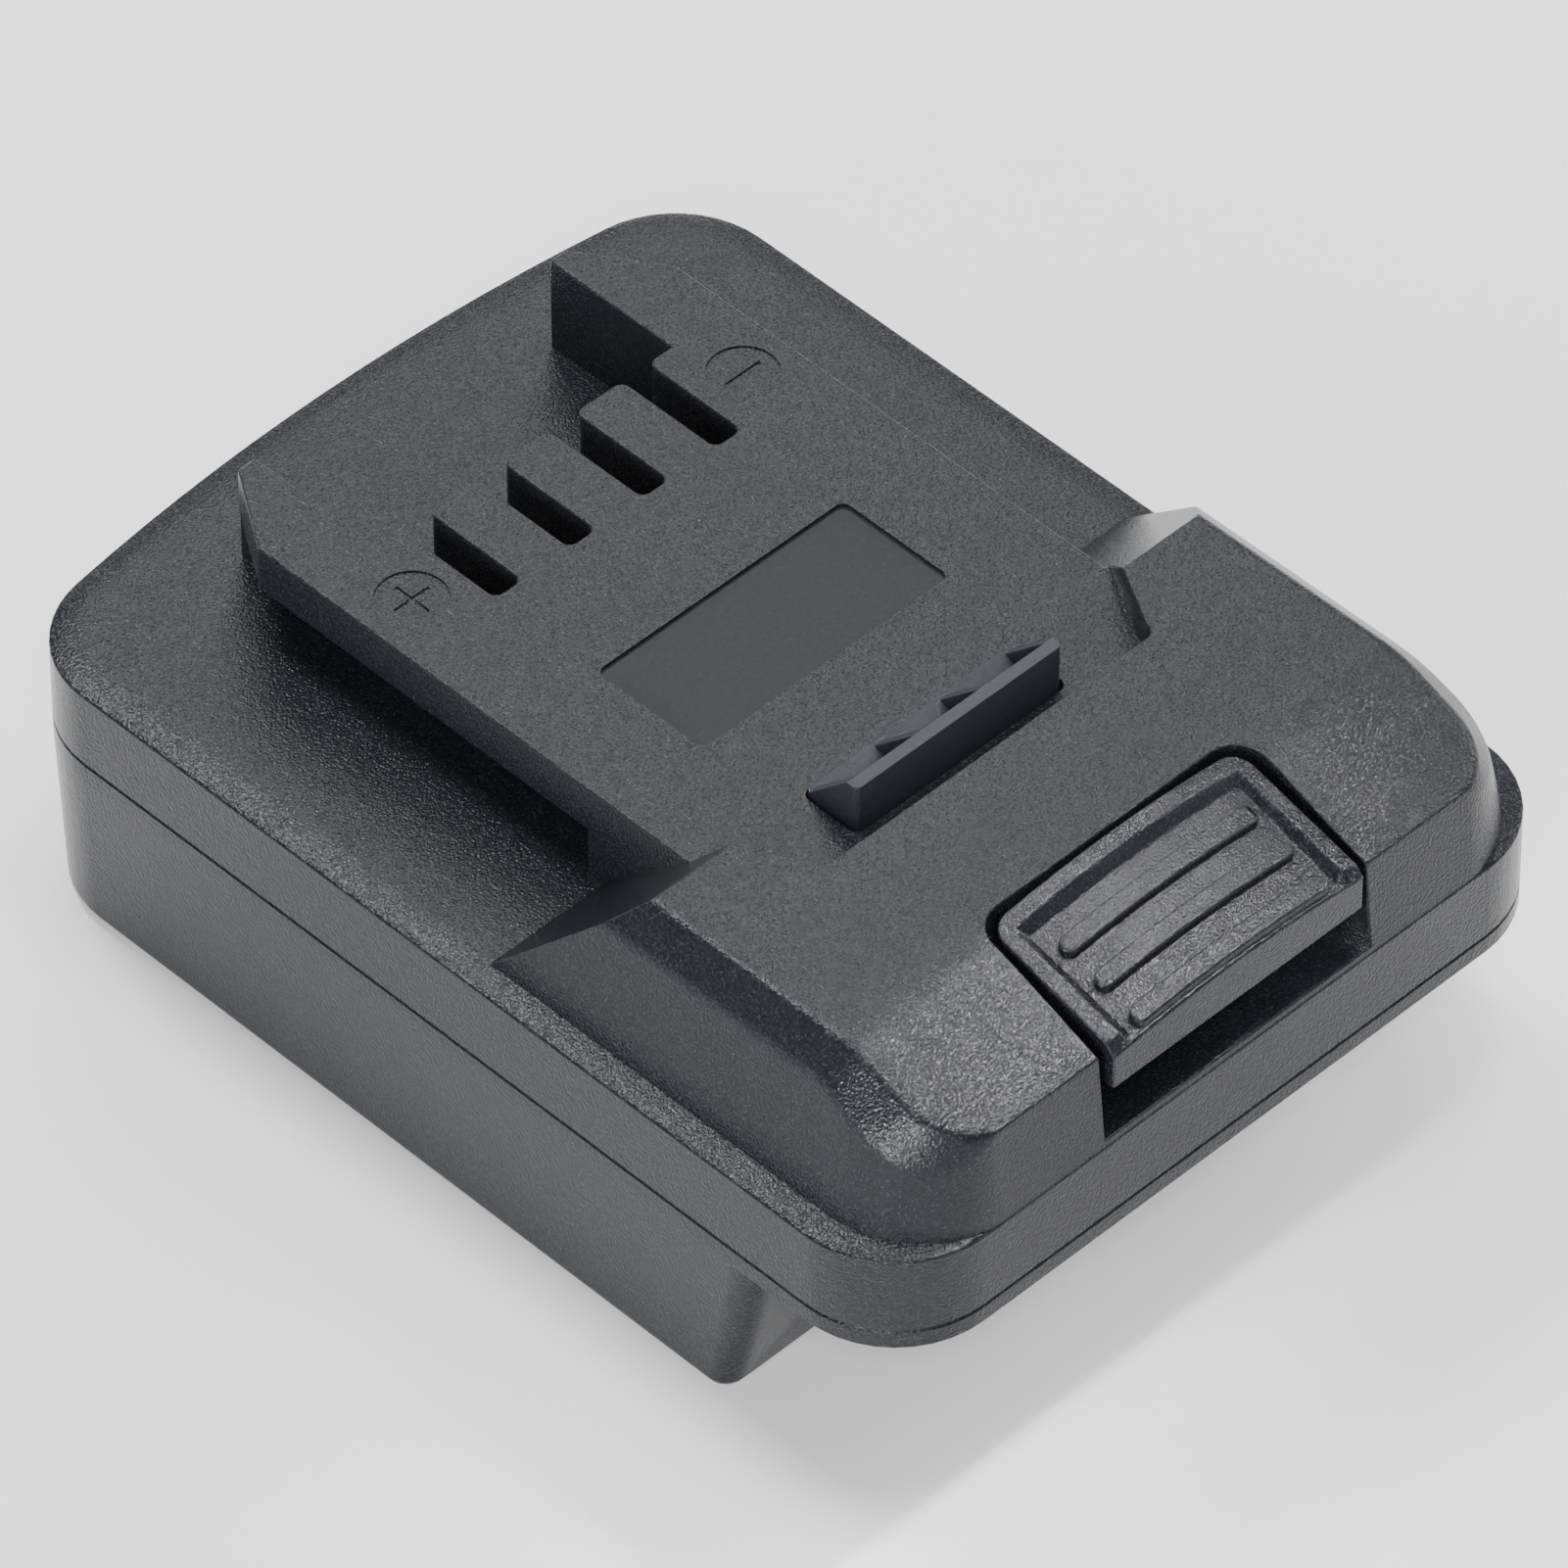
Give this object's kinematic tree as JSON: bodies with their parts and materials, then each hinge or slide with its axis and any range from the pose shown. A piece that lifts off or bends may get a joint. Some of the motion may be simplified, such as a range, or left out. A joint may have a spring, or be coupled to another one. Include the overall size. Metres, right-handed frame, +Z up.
{
  "type": "tool battery adapter",
  "caption": "Slide-on adapter between a cordless tool and a foreign battery pack: T-rail deck with terminal slots and a sprung release latch on top, battery bay with blades underneath.",
  "frame": {"origin": "middle of the underside: centre of the part's box, on the surface that it rests on", "axes": "+Z up, +Y along the length towards the rear, where the tool slides on; -Y to the button; +X to the right seen from the button"},
  "size_m": [0.076, 0.104, 0.0413],
  "materials": {
    "black_plastic": "fine spark-eroded matt grain, dark charcoal",
    "terminal_plastic": "smooth satin black",
    "contact_brass": "stamped, plain",
    "spring_steel": "drawn wire",
    "screw_steel": "zinc plated",
    "circuit_board": "green solder resist",
    "chip_plastic": "moulded black",
    "red_insulation": "soft insulation",
    "black_insulation": "soft insulation",
    "yellow_insulation": "soft insulation",
    "white_insulation": "soft insulation",
    "blue_insulation": "soft insulation"
  },
  "bodies": {
    "housing": {"upper_cover": "black_plastic", "lower_housing": "black_plastic", "latch_spring_left": "spring_steel", "latch_spring_right": "spring_steel", "output_terminal_holder": "terminal_plastic", "output_clip_positive": "contact_brass", "output_clip_sense": "contact_brass", "output_clip_data": "contact_brass", "output_clip_negative": "contact_brass", "input_terminal_block": "terminal_plastic", "input_blade_positive": "contact_brass", "input_blade_negative": "contact_brass", "input_blade_signal": "contact_brass", "signal_board": "circuit_board", "board_chips": "chip_plastic", "positive_lead": "red_insulation", "negative_lead": "black_insulation", "sense_lead": "yellow_insulation", "data_lead": "white_insulation", "input_signal_lead": "blue_insulation", "housing_screws": "screw_steel", "terminal_screws": "screw_steel", "board_screws": "screw_steel"},
    "latch": {"release_latch": "black_plastic"}
  },
  "joints": [
    {"name": "button_press", "type": "slide", "parent": "housing", "child": "latch", "axis": [0, 0, -1], "range_m": [0, 0.0046], "stiffness_N_per_m": 1300, "springref_m": -0.003, "deforming": ["latch_spring_left", "latch_spring_right"]}
  ]
}
